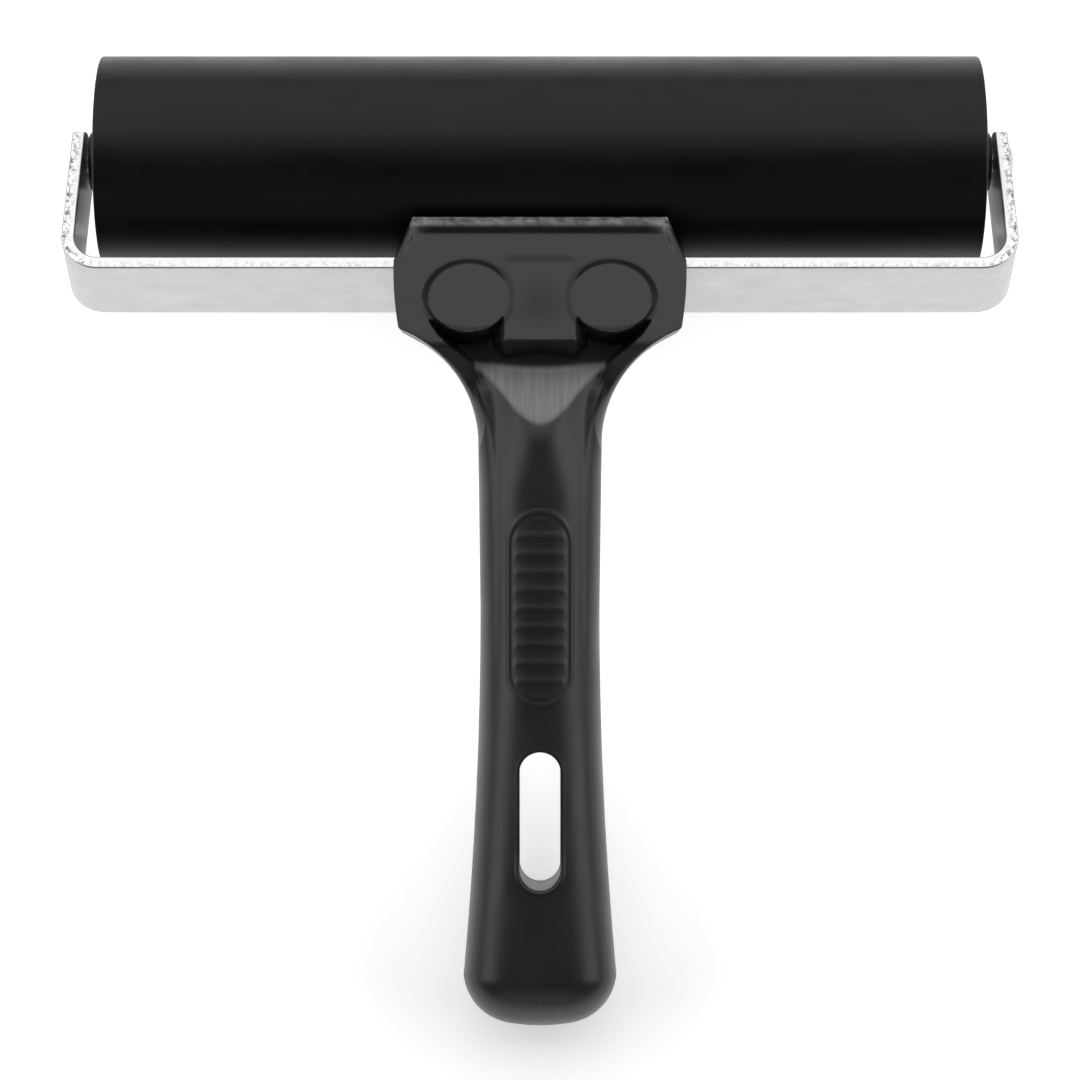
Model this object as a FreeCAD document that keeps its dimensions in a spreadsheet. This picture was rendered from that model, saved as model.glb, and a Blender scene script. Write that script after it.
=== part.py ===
import FreeCAD, Part
import os
import Sketcher

# A printmaking brayer: a rubber roller that turns on a fixed axle, a bent aluminium strip
# that holds the axle, and a moulded plastic handle that the strip is clamped in.
#
# Row frame: +X along the axle, +Y towards the roller, +Z up from the table that the roller
# and the end of the grip rest on. Every piece is drawn about the axle's centre, in one of
# three local frames that only differ by a tilt about X, and is then placed:
#   axle frame   x, y, z level with the table
#   strip frame  x, v towards the handle, n up; the strip rises by frame_tilt
#   grip frame   x, s towards the end of the grip, p up; the grip falls by grip_tilt
# In a sketch, v and s run along -Y of the body, n and p along +Z.

DIMENSIONS = {
    "roller_radius": 18.0,
    "roller_length": 150.0,
    "roller_edge_radius": 0.4,
    "sleeve_wall": 5.0,
    "core_wall": 1.5,
    "core_recess": 0.4,
    "axle_radius": 2.0,
    "running_clearance": 0.05,
    "bush_depth": 14.0,
    "bush_recess": 0.8,
    "neck_radius": 4.9,
    "neck_length": 1.0,
    "washer_radius": 4.9,
    "washer_clearance": 0.15,
    "washer_thickness": 1.0,
    "strip_width": 15.0,
    "strip_thickness": 2.2,
    "strip_reach": 23.5,
    "strip_inner_bend": 4.2,
    "strip_toe_in": 2.0,
    "arm_gap_half": 77.55,
    "arm_end_reach": 3.8,
    "arm_end_radius": 12.0,
    "rivet_head_radius": 3.0,
    "rivet_head_height": 1.5,
    "peened_end_radius": 2.8,
    "peened_end_height": 0.5,
    "rivet_stand_off": 0.15,
    "frame_tilt": 16.0,
    "grip_tilt": 11.7,
    "axle_forward": 64.4,
    "head_half_width": 24.4,
    "head_back_half_width": 20.2,
    "head_back_station": 8.0,
    "head_widest_station": 18.1,
    "head_front_half_width": 23.4,
    "head_front_station": 29.8,
    "head_half_depth": 10.0,
    "head_back_radius": 20.0,
    "head_top_reach": 41.0,
    "neck_fillet": 20.5,
    "neck_half_width": 10.3,
    "neck_station": 48.0,
    "waist_half_width": 9.95,
    "waist_station": 76.0,
    "butt_half_width": 12.8,
    "butt_station": 137.5,
    "butt_corner_radius": 9.0,
    "butt_corner_half_width": 4.5,
    "butt_corner_station": 145.4,
    "butt_half_depth": 9.75,
    "grip_end_station": 145.8,
    "grip_centre": 20.17,
    "grip_half_depth": 8.7,
    "crown_radius": 14.0,
    "belly_radius": 20.0,
    "crown_margin": 0.7,
    "valley_station": 36.75,
    "valley_height": 23.8,
    "valley_half_width": 12.2,
    "ridge_station": 45.6,
    "slot_start": 99.7,
    "slot_end": 122.5,
    "slot_half_width": 3.4,
    "pad_offset": 11.75,
    "pad_reach": 33.0,
    "pad_radius": 7.3,
    "pad_height": 1.35,
    "plate_thickness": 3.0,
    "plate_back_reach": 20.9,
    "plate_front_reach": 38.2,
    "fit_gap": 0.1,
    "screw_radius": 1.45,
    "screw_hole_radius": 1.5,
    "screw_length": 12.0,
    "screw_head_radius": 2.8,
    "screw_head_height": 1.6,
    "counterbore_radius": 3.1,
}

BIG = 200.0
X_AXIS = FreeCAD.Vector(1, 0, 0)
BEND = "(frame_tilt+grip_tilt)"
LOWER_FACE = "(strip_width/2+plate_thickness)"


def make_sheet(doc):
    """Put every driving dimension in a spreadsheet cell with an alias."""
    sheet = doc.addObject("Spreadsheet::Sheet", "dimensions")
    for row, (alias, value) in enumerate(DIMENSIONS.items(), start=1):
        sheet.set(f"A{row}", alias)
        sheet.set(f"B{row}", str(value))
        sheet.setAlias(f"B{row}", alias)
    doc.recompute()
    return sheet


def cells(expression):
    """Turn each alias in an expression into a reference to its cell."""
    text, word = "", ""
    for mark in expression + " ":
        if mark.isalnum() or mark == "_":
            word += mark
            continue
        text += f"dimensions.{word}" if word in DIMENSIONS else word
        text += mark
        word = ""
    return text.strip()


def bind(thing, prop, expression):
    """Drive one property by an expression in the sheet's aliases."""
    thing.setExpression(prop, cells(expression))


def in_grip(v, n):
    """The grip-frame s and p of a point that is given as v and n in the strip frame."""
    return (
        f"(({v})*cos({BEND})-({n})*sin({BEND}))",
        f"(({v})*sin({BEND})+({n})*cos({BEND}))",
    )


def place(piece, tilt):
    """Tilt a finished piece about the axle's centre and lift it to its place."""
    piece.Placement = FreeCAD.Placement(FreeCAD.Vector(), FreeCAD.Rotation(X_AXIS, 1))
    bind(piece, "Placement.Rotation.Angle", tilt)
    bind(piece, "Placement.Base.y", "axle_forward")
    bind(piece, "Placement.Base.z", "roller_radius")


def make_body(doc, name):
    body = doc.addObject("PartDesign::Body", name)
    body.Label = name
    return body


def make_sketch(body, name, role, lift=None, tilt=None):
    """A sketch on one of the body's origin planes, lifted along or tilted about it if asked."""
    plane = next(f for f in body.Origin.OriginFeatures if f.Role == role)
    sketch = body.newObject("Sketcher::SketchObject", name)
    sketch.AttachmentSupport = [(plane, "")]
    sketch.MapMode = "FlatFace"
    if tilt is not None:
        turned = FreeCAD.Rotation(X_AXIS, 1)
        sketch.AttachmentOffset = FreeCAD.Placement(FreeCAD.Vector(), turned)
        bind(sketch, "AttachmentOffset.Rotation.Angle", tilt)
        bind(sketch, "AttachmentOffset.Base.y", f"({lift})*(-sin({tilt}))")
        bind(sketch, "AttachmentOffset.Base.z", f"({lift})*cos({tilt})")
    elif lift is not None:
        bind(sketch, "AttachmentOffset.Base.z", lift)
    return sketch


def value_of(sketch, expression):
    return float(sketch.evalExpression(cells(expression)))


def pin(sketch, geometry, end, across, up):
    """Fix one end point of a sketch edge at two expressions."""
    for kind, expression in (("DistanceX", across), ("DistanceY", up)):
        start = value_of(sketch, expression)
        if abs(start) < 1e-9:
            axis = -2 if kind == "DistanceX" else -1
            sketch.addConstraint(Sketcher.Constraint("PointOnObject", geometry, end, axis))
            continue
        index = sketch.addConstraint(Sketcher.Constraint(kind, -1, 1, geometry, end, start))
        bind(sketch, f"Constraints[{index}]", expression)


def outline(sketch, points, arcs=None):
    """Draw a closed outline through points of two expressions each.

    arcs maps the number of an edge to the radius of its arc, as an expression, and to 1 if
    the arc turns left on its way to the next point or -1 if it turns right. An arc without
    a radius is a half circle.
    """
    arcs = arcs or {}
    corners = [FreeCAD.Vector(value_of(sketch, a), value_of(sketch, b), 0) for a, b in points]
    edges = []
    for number, start in enumerate(corners):
        end = corners[(number + 1) % len(corners)]
        if number in arcs:
            radius, turn = arcs[number]
            size = value_of(sketch, radius) if radius else (end - start).Length / 2
            edges.append((sketch.addGeometry(arc(start, end, size, turn)), turn))
        else:
            edges.append((sketch.addGeometry(Part.LineSegment(start, end)), 0))
    for number, (edge, turn) in enumerate(edges):
        following, next_turn = edges[(number + 1) % len(edges)]
        last, first = (1 if turn < 0 else 2), (2 if next_turn < 0 else 1)
        sketch.addConstraint(Sketcher.Constraint("Coincident", edge, last, following, first))
        pin(sketch, edge, 2 if turn < 0 else 1, *points[number])
        if turn and arcs[number][0]:
            radius = arcs[number][0]
            rule = Sketcher.Constraint("Radius", edge, value_of(sketch, radius))
            bind(sketch, f"Constraints[{sketch.addConstraint(rule)}]", radius)
        elif turn:
            sketch.addConstraint(Sketcher.Constraint("Symmetric", edge, 1, edge, 2, edge, 3))


def arc(start, end, radius, turn):
    """The short arc from start to end; FreeCAD draws every arc anticlockwise."""
    half = (end - start) * 0.5
    left = FreeCAD.Vector(-half.y, half.x, 0).normalize()
    rise = max(radius**2 - half.Length**2, 0.0) ** 0.5
    centre = start + half + left * (rise * turn)
    first, last = (start, end) if turn > 0 else (end, start)
    circle = Part.Circle(centre, FreeCAD.Vector(0, 0, 1), radius)
    return Part.ArcOfCircle(circle, circle.parameter(first), circle.parameter(last))


def circles(sketch, centres, radius):
    """Draw one circle of the same radius about each centre."""
    for across, up in centres:
        centre = FreeCAD.Vector(value_of(sketch, across), value_of(sketch, up), 0)
        shape = Part.Circle(centre, FreeCAD.Vector(0, 0, 1), value_of(sketch, radius))
        edge = sketch.addGeometry(shape)
        pin(sketch, edge, 3, across, up)
        rule = Sketcher.Constraint("Radius", edge, value_of(sketch, radius))
        bind(sketch, f"Constraints[{sketch.addConstraint(rule)}]", radius)


def feature(doc, body, kind, name, sketch, **settings):
    """Add a PartDesign feature on a sketch and compute it."""
    made = body.newObject(f"PartDesign::{kind}", name)
    made.Profile = sketch
    for setting, value in settings.items():
        setattr(made, setting, value)
    sketch.Visibility = False
    doc.recompute()
    return made


def pad(doc, body, name, sketch, length, middle=False, reverse=False):
    made = feature(doc, body, "Pad", name, sketch, Midplane=middle, Reversed=reverse)
    bind(made, "Length", length)
    doc.recompute()
    return made


def cut_through(doc, body, name, sketch):
    """Cut a sketch out of a body on both sides of the sketch's plane."""
    before = body.Shape.Volume
    made = feature(doc, body, "Pocket", name, sketch, Midplane=True, Type=0, Length=BIG)
    if body.Shape.Volume >= before:
        raise RuntimeError(f"{name} cut nothing")
    return made


def turned_piece(doc, name, points, arcs=None):
    """A piece that is round about the axle, from its half outline of x and radius."""
    body = make_body(doc, name)
    sketch = make_sketch(body, f"{name}_outline", "XY_Plane")
    outline(sketch, points, arcs)
    feature(doc, body, "Revolution", f"{name}_turned", sketch, ReferenceAxis=(sketch, ["H_Axis"]))
    place(body, "0")
    return body


def rubber_sleeve(doc):
    """The rubber covering, with a slightly broken outer edge at each end."""
    end, rim = "roller_length/2", "roller_radius"
    edge, bore = "roller_edge_radius", "roller_radius-sleeve_wall"
    points = [
        (f"-({end})", bore),
        (end, bore),
        (end, f"{rim}-{edge}"),
        (f"{end}-{edge}", rim),
        (f"-({end})+{edge}", rim),
        (f"-({end})", f"{rim}-{edge}"),
    ]
    return turned_piece(doc, "rubber_sleeve", points, {2: (edge, 1), 4: (edge, 1)})


def core_tube(doc):
    """The stiff tube inside the rubber, a little shorter than it."""
    end = "(roller_length/2-core_recess)"
    outside = "roller_radius-sleeve_wall"
    inside = f"{outside}-core_wall"
    points = [(f"-{end}", inside), (end, inside), (end, outside), (f"-{end}", outside)]
    return turned_piece(doc, "core_tube", points)


def end_bush(doc, name, side):
    """A plug in one end of the tube, which runs on the axle and has a short neck outside."""
    bore = "axle_radius+running_clearance"
    plug = "roller_radius-sleeve_wall-core_wall"
    face = "(roller_length/2-bush_recess)"
    inner, tip = f"({face}-bush_depth)", "(roller_length/2+neck_length)"
    points = [
        (f"{side}*{inner}", bore),
        (f"{side}*{tip}", bore),
        (f"{side}*{tip}", "neck_radius"),
        (f"{side}*{face}", "neck_radius"),
        (f"{side}*{face}", plug),
        (f"{side}*{inner}", plug),
    ]
    return turned_piece(doc, name, points)


def washer(doc, name, side):
    """The nylon washer between a bush and an arm of the strip."""
    near = "(roller_length/2+neck_length+washer_clearance)"
    far = f"({near}+washer_thickness)"
    bore = "axle_radius+washer_clearance"
    points = [
        (f"{side}*{near}", bore),
        (f"{side}*{far}", bore),
        (f"{side}*{far}", "washer_radius"),
        (f"{side}*{near}", "washer_radius"),
    ]
    return turned_piece(doc, name, points)


def axle_rod(doc):
    """The rod, with a domed head outside one arm and a low peened end outside the other."""
    seat = "(arm_gap_half+strip_thickness/cos(strip_toe_in)+rivet_stand_off)"
    points = [
        (f"-{seat}-peened_end_height", "0"),
        (f"{seat}+rivet_head_height", "0"),
        (seat, "rivet_head_radius"),
        (seat, "axle_radius"),
        (f"-{seat}", "axle_radius"),
        (f"-{seat}", "peened_end_radius"),
    ]
    dome = "((rivet_head_radius^2+rivet_head_height^2)/(2*rivet_head_height))"
    low_dome = "((peened_end_radius^2+peened_end_height^2)/(2*peened_end_height))"
    return turned_piece(doc, "axle_rod", points, {1: (dome, 1), 5: (low_dome, 1)})


def frame_bar(doc):
    """The flat strip, bent twice to a U whose arms toe in, with a hole near each end."""
    body = make_body(doc, "frame_bar")
    toe = "strip_toe_in"
    slope, wall = f"tan({toe})", f"(strip_thickness/cos({toe}))"
    outer_bend = "(strip_inner_bend+strip_thickness)"
    half_turn = f"tan(45+{toe}/2)"
    right = []
    for gap, reach, radius in (
        ("arm_gap_half", "strip_reach", "strip_inner_bend"),
        (f"(arm_gap_half+{wall})", "(strip_reach+strip_thickness)", outer_bend),
    ):
        corner, tangent = f"({gap}+{reach}*{slope})", f"({radius}*{half_turn})"
        tip = (f"({gap}-arm_end_reach*{slope})", "arm_end_reach")
        arm = (f"({corner}-{tangent}*sin({toe}))", f"-({reach}-{tangent}*cos({toe}))")
        bar = (f"({corner}-{tangent})", f"-{reach}")
        right.append((tip, arm, bar))
    (tip_in, arm_in, bar_in), (tip_out, arm_out, bar_out) = right
    half = [bar_out, arm_out, tip_out, tip_in, arm_in, bar_in]
    points = half + [(f"-{x}", y) for x, y in reversed(half)]
    arcs = {
        0: (outer_bend, 1),
        4: ("strip_inner_bend", -1),
        6: ("strip_inner_bend", -1),
        10: (outer_bend, 1),
    }
    sketch = make_sketch(body, "strip_outline", "XY_Plane")
    outline(sketch, points, arcs)
    pad(doc, body, "strip_pad", sketch, "strip_width", middle=True)

    clear = "(strip_width*0.6)"
    dip = f"(arm_end_reach-arm_end_radius+sqrt(arm_end_radius^2-{clear}^2))"
    ends = make_sketch(body, "arm_end_outline", "YZ_Plane")
    beyond = "(arm_end_reach+arm_end_radius)"
    points = [(dip, f"-{clear}"), (dip, clear), (beyond, clear), (beyond, f"-{clear}")]
    outline(ends, points, {0: ("arm_end_radius", 1)})
    cut_through(doc, body, "rounded_arm_ends", ends)

    holes = make_sketch(body, "axle_hole_outline", "YZ_Plane")
    circles(holes, [("0", "0")], "axle_radius")
    cut_through(doc, body, "axle_holes", holes)
    place(body, "-frame_tilt")
    return body


def trim_to_plan(doc, body):
    """Cut a handle moulding to the handle's outline, seen square to the grip."""
    flare = "(((butt_station-waist_station)^2+(butt_half_width-waist_half_width)^2)"
    flare += "/(2*(butt_half_width-waist_half_width)))"
    end_bulge = "(grip_end_station-butt_corner_station)"
    half = [
        ("head_back_half_width", "-head_back_station"),
        ("head_half_width", "-head_widest_station"),
        ("head_front_half_width", "-head_front_station"),
        ("neck_half_width", "-neck_station"),
        ("waist_half_width", "-waist_station"),
        ("butt_half_width", "-butt_station"),
        ("butt_corner_half_width", "-butt_corner_station"),
    ]
    points = half + [(f"-{x}", y) for x, y in reversed(half)]
    arcs = {
        2: ("neck_fillet", 1),
        4: (flare, 1),
        5: ("butt_corner_radius", -1),
        6: (f"((butt_corner_half_width^2+{end_bulge}^2)/(2*{end_bulge}))", -1),
        7: ("butt_corner_radius", -1),
        8: (flare, 1),
        10: ("neck_fillet", 1),
    }
    sketch = make_sketch(body, f"{body.Name}_plan", "XY_Plane")
    outline(sketch, points, arcs)
    far, near = str(BIG), f"-{BIG}"
    outline(sketch, [(near, near), (far, near), (far, far), (near, far)])
    return cut_through(doc, body, f"{body.Name}_sides", sketch)


def round_grip(doc, body):
    """Crown the grip's upper side and, more gently, its lower side, from the neck to its end."""
    reach = "(butt_half_width+crown_margin)"
    top, low = "(grip_centre+butt_half_depth)", "(grip_centre-butt_half_depth)"
    crown = f"({top}-crown_radius+sqrt(crown_radius^2-{reach}^2))"
    belly = f"({low}+belly_radius-sqrt(belly_radius^2-{reach}^2))"
    above, below = f"({top}+crown_radius)", f"({low}-belly_radius)"
    sides = (
        ("grip_crown", "crown_radius", [(reach, crown), (f"-{reach}", crown)], above),
        ("grip_belly", "belly_radius", [(f"-{reach}", belly), (reach, belly)], below),
    )
    for name, radius, ends, level in sides:
        sketch = make_sketch(body, f"{name}_outline", "XZ_Plane", "neck_station")
        back = [(across, level) for across, _ in reversed(ends)]
        outline(sketch, ends + back, {0: (radius, 1)})
        before = body.Shape.Volume
        feature(doc, body, "Pocket", name, sketch, Reversed=True, Type=0, Length=BIG)
        if body.Shape.Volume >= before:
            raise RuntimeError(f"{name} cut nothing")


def handle_body(doc):
    """The handle's one moulding: a head that holds the strip, a valley, and a rounded grip."""
    body = make_body(doc, "handle_body")
    top_back = "sqrt(head_back_radius^2-head_half_depth^2)"
    low_back = f"sqrt(head_back_radius^2-{LOWER_FACE}^2)"
    grip_top, grip_low = "(grip_centre+grip_half_depth)", "(grip_centre-grip_half_depth)"
    heel = f"(({grip_low}+{LOWER_FACE}*cos({BEND}))/sin({BEND}))"
    butt_round = "(((grip_end_station-butt_station)^2+butt_half_depth^2)/(2*butt_half_depth))"
    profile = [
        in_grip(top_back, "head_half_depth"),
        in_grip("head_top_reach", "head_half_depth"),
        ("ridge_station", grip_top),
        ("butt_station", "grip_centre+butt_half_depth"),
        ("grip_end_station", "grip_centre"),
        ("butt_station", "grip_centre-butt_half_depth"),
        in_grip(heel, f"-{LOWER_FACE}"),
        in_grip(low_back, f"-{LOWER_FACE}"),
    ]
    sketch = make_sketch(body, "handle_profile", "YZ_Plane")
    arcs = {3: (butt_round, 1), 4: (butt_round, 1), 7: ("head_back_radius", -1)}
    outline(sketch, [(f"-({s})", p) for s, p in profile], arcs)
    pad(doc, body, "handle_pad", sketch, "2*head_half_width", middle=True)
    trim_to_plan(doc, body)
    round_grip(doc, body)

    valley = make_sketch(body, "valley_profile", "YZ_Plane")
    lip_s, lip_p = in_grip("head_top_reach", "head_half_depth")
    corners = [
        (f"-({lip_s})", lip_p),
        ("-valley_station", "valley_height"),
        ("-ridge_station", grip_top),
        ("-ridge_station", f"{grip_top}+grip_half_depth"),
        (f"-({lip_s})", f"{grip_top}+grip_half_depth"),
    ]
    outline(valley, corners)
    made = feature(doc, body, "Pocket", "valley", valley, Midplane=True, Type=0)
    bind(made, "Length", "2*valley_half_width")

    slot = make_sketch(body, "slot_outline", "XY_Plane")
    near, far = "(slot_start+slot_half_width)", "(slot_end-slot_half_width)"
    points = [
        ("slot_half_width", f"-{far}"),
        ("slot_half_width", f"-{near}"),
        ("-slot_half_width", f"-{near}"),
        ("-slot_half_width", f"-{far}"),
    ]
    outline(slot, points, {1: (None, 1), 3: (None, 1)})
    cut_through(doc, body, "hang_slot", slot)

    channel = make_sketch(body, "channel_profile", "YZ_Plane")
    roof, floor = "strip_width/2", f"-({LOWER_FACE}+fit_gap)"
    back, front = "(strip_reach-fit_gap)", "(strip_reach+strip_thickness+fit_gap)"
    corners = [in_grip(back, floor), in_grip(back, roof), in_grip(front, roof), in_grip(front, floor)]
    outline(channel, [(f"-({s})", p) for s, p in corners])
    cut_through(doc, body, "strip_channel", channel)

    recess = make_sketch(body, "plate_recess_profile", "YZ_Plane")
    roof, floor = "-strip_width/2", f"-({LOWER_FACE}+2*plate_thickness)"
    back, front = "(plate_back_reach-fit_gap)", "(plate_front_reach+fit_gap)"
    corners = [in_grip(back, floor), in_grip(back, roof), in_grip(front, roof), in_grip(front, floor)]
    outline(recess, [(f"-({s})", p) for s, p in corners])
    cut_through(doc, body, "plate_recess", recess)

    centres = [("pad_offset", "-pad_reach"), ("-pad_offset", "-pad_reach")]
    pads = make_sketch(body, "round_pad_outline", "XY_Plane", "head_half_depth-1", f"-{BEND}")
    circles(pads, centres, "pad_radius")
    pad(doc, body, "round_pads", pads, "pad_height+1")
    holes = make_sketch(body, "pilot_hole_outline", "XY_Plane", "-strip_width/2-1", f"-{BEND}")
    circles(holes, centres, "screw_hole_radius")
    made = feature(doc, body, "Pocket", "pilot_holes", holes, Reversed=True, Type=0)
    bind(made, "Length", "screw_length+1")
    place(body, "grip_tilt")
    return body


def clamp_plate(doc):
    """The plate that closes the channel from below, held by two screws."""
    body = make_body(doc, "clamp_plate")
    section = make_sketch(body, "plate_profile", "YZ_Plane")
    low, high = f"-{LOWER_FACE}", "-strip_width/2"
    near, far = "plate_back_reach", "plate_front_reach"
    corners = [in_grip(near, low), in_grip(near, high), in_grip(far, high), in_grip(far, low)]
    outline(section, [(f"-({s})", p) for s, p in corners])
    pad(doc, body, "plate_pad", section, "2*head_half_width", middle=True)
    trim_to_plan(doc, body)
    centres = [("pad_offset", "-pad_reach"), ("-pad_offset", "-pad_reach")]
    holes = make_sketch(body, "screw_hole_outline", "XY_Plane", f"-{LOWER_FACE}", f"-{BEND}")
    circles(holes, centres, "screw_hole_radius")
    made = feature(doc, body, "Pocket", "screw_holes", holes, Midplane=True, Type=0)
    bind(made, "Length", "4*plate_thickness")
    sinks = make_sketch(body, "counterbore_outline", "XY_Plane", f"-{LOWER_FACE}", f"-{BEND}")
    circles(sinks, centres, "counterbore_radius")
    made = feature(doc, body, "Pocket", "counterbores", sinks, Midplane=True, Type=0)
    bind(made, "Length", "2*(screw_head_height+fit_gap)")
    place(body, "grip_tilt")
    return body


def clamp_screws(doc):
    """The two screws of the plate, as a group of separate solids in the strip frame."""
    screws = []
    for name, side in (("right", 1), ("left", -1)):
        parts = []
        for part, radius, length, base in (
            ("shank", "screw_radius", "screw_length", f"-{LOWER_FACE}+screw_head_height"),
            ("head", "screw_head_radius", "screw_head_height", f"-{LOWER_FACE}+fit_gap"),
        ):
            rod = doc.addObject("Part::Cylinder", f"screw_{part}_{name}")
            bind(rod, "Radius", radius)
            bind(rod, "Height", length)
            bind(rod, "Placement.Base.x", f"{side}*pad_offset")
            bind(rod, "Placement.Base.y", "-pad_reach")
            bind(rod, "Placement.Base.z", base)
            parts.append(rod)
        screw = doc.addObject("Part::MultiFuse", f"screw_{name}")
        screw.Shapes = parts
        screws.append(screw)
    group = doc.addObject("Part::Compound", "clamp_screws")
    group.Links = screws
    group.Label = "clamp_screws"
    place(group, "-frame_tilt")
    return group


def check(doc, pieces):
    """Stop if anything failed to compute or any piece isn't a sound solid."""
    doc.recompute()
    bad = [o.Name for o in doc.Objects if "Invalid" in o.State or "Error" in o.State]
    if bad:
        raise RuntimeError(f"not computed: {bad}")
    for piece in pieces:
        if piece.Shape.isNull() or not piece.Shape.isValid():
            raise RuntimeError(f"{piece.Label} isn't a valid shape")


def main():
    doc = FreeCAD.newDocument("brayer")
    make_sheet(doc)
    pieces = [
        rubber_sleeve(doc),
        core_tube(doc),
        end_bush(doc, "end_bush_right", 1),
        end_bush(doc, "end_bush_left", -1),
        washer(doc, "washer_right", 1),
        washer(doc, "washer_left", -1),
        axle_rod(doc),
        frame_bar(doc),
        handle_body(doc),
        clamp_plate(doc),
        clamp_screws(doc),
    ]
    check(doc, pieces)
    os.makedirs("parts", exist_ok=True)
    for piece in pieces:
        piece.Shape.exportStep(f"parts/{piece.Label}.step")
        box = piece.Shape.BoundBox
        print(f"{piece.Label:16} {piece.Shape.Volume:10.1f} mm3  y {box.YMin:7.2f} {box.YMax:7.2f}"
              f"  z {box.ZMin:6.2f} {box.ZMax:6.2f}  solids {len(piece.Shape.Solids)}")


main()
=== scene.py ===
"""The looks of a printmaking brayer: rubber roller, bent aluminium strip, moulded handle.

Lengths in this script are millimetres about the axle's centre, and are turned into the
row's metres when a mesh is made. The handle is worked out in the grip frame: x along the
axle, s towards the end of the grip and p up, square to the grip. The strip frame has v
towards the handle and n up. Both are only tilted about the axle.
"""
import math

import bmesh
import bpy
import numpy as np
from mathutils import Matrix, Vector


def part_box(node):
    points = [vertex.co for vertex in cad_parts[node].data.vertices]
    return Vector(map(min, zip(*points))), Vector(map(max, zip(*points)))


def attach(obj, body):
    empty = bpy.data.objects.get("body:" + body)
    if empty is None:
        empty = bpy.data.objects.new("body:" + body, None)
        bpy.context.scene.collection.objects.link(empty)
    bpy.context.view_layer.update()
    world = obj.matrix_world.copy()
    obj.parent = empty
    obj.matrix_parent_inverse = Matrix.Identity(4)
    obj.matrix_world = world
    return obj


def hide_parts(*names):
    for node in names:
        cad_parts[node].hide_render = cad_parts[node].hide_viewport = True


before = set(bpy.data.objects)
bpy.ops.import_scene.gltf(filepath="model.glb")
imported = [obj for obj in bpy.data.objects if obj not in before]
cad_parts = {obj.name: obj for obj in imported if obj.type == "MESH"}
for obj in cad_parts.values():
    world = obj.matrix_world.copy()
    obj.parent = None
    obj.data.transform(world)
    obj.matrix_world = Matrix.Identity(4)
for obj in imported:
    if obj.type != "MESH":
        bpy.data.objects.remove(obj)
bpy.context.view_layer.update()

MM = 0.001
LOW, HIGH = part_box("rubber_sleeve")
AXLE_Y = (LOW.y + HIGH.y) / 2
AXLE_Z = (LOW.z + HIGH.z) / 2
ROLLER_RADIUS = min(HIGH.z - LOW.z, HIGH.y - LOW.y) / 2 / MM
ROLLER_HALF = HIGH.x / MM
FRAME_TILT = math.radians(16.0)
GRIP_TILT = math.radians(-11.7)
BEND = FRAME_TILT - GRIP_TILT


def to_row(x, away, up, tilt):
    """Row metres of points given across, away from the roller and up, in a tilted frame."""
    x, away, up = np.broadcast_arrays(x, away, up)
    y = -away * math.cos(tilt) + up * math.sin(tilt)
    z = away * math.sin(tilt) + up * math.cos(tilt)
    return np.stack([x * MM, y * MM + AXLE_Y, z * MM + AXLE_Z], axis=-1)


# ---------------------------------------------------------------- mesh helpers


def make_piece(name, points, faces, body, nodes, material, sharp=35.0):
    """A mesh object from row points, which stands for CAD nodes and rides on a body."""
    mesh = bpy.data.meshes.new(name)
    mesh.from_pydata(points.reshape(-1, 3).tolist(), [], faces)
    mesh.validate()
    mesh.polygons.foreach_set("use_smooth", [True] * len(mesh.polygons))
    mesh.set_sharp_from_angle(angle=math.radians(sharp))
    piece = bpy.data.objects.new(name, mesh)
    bpy.context.scene.collection.objects.link(piece)
    piece.data.materials.append(material)
    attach(piece, body)
    if nodes:
        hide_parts(*nodes)
    return piece


def round_corners(points, radii, steps=8):
    """Replace each corner of a closed outline by an arc of its radius, zero for none."""
    out = []
    count = len(points)
    for i, radius in enumerate(radii):
        corner = np.array(points[i], float)
        before = np.array(points[i - 1], float) - corner
        after = np.array(points[(i + 1) % count], float) - corner
        if radius <= 0:
            out.append(corner)
            continue
        a, b = before / np.linalg.norm(before), after / np.linalg.norm(after)
        half = math.acos(float(np.clip(a @ b, -1, 1))) / 2
        centre = corner + (a + b) / np.linalg.norm(a + b) * radius / math.sin(half)
        first = corner + a * radius / math.tan(half) - centre
        last = corner + b * radius / math.tan(half) - centre
        turn = math.pi - 2 * half
        for k in range(steps + 1):
            t = k / steps
            spoke = (first * math.sin((1 - t) * turn) + last * math.sin(t * turn)) / math.sin(turn)
            out.append(centre + spoke)
    return np.array(out)


def lathe(name, profile, body, nodes, material, turns=160, sharp=35.0):
    """Turn a closed outline of x and radius about the axle."""
    angle = np.arange(turns) * (2 * math.pi / turns)
    x = np.repeat(profile[:, 0][None, :], turns, axis=0)
    away = np.cos(angle)[:, None] * profile[:, 1][None, :]
    up = np.sin(angle)[:, None] * profile[:, 1][None, :]
    rim = len(profile)
    faces = []
    for i in range(turns):
        j = (i + 1) % turns
        for k in range(rim):
            m = (k + 1) % rim
            faces.append((i * rim + k, j * rim + k, j * rim + m, i * rim + m))
    points = to_row(x, away, up, 0.0)
    return make_piece(name, points, faces, body, nodes, material, sharp)


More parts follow.
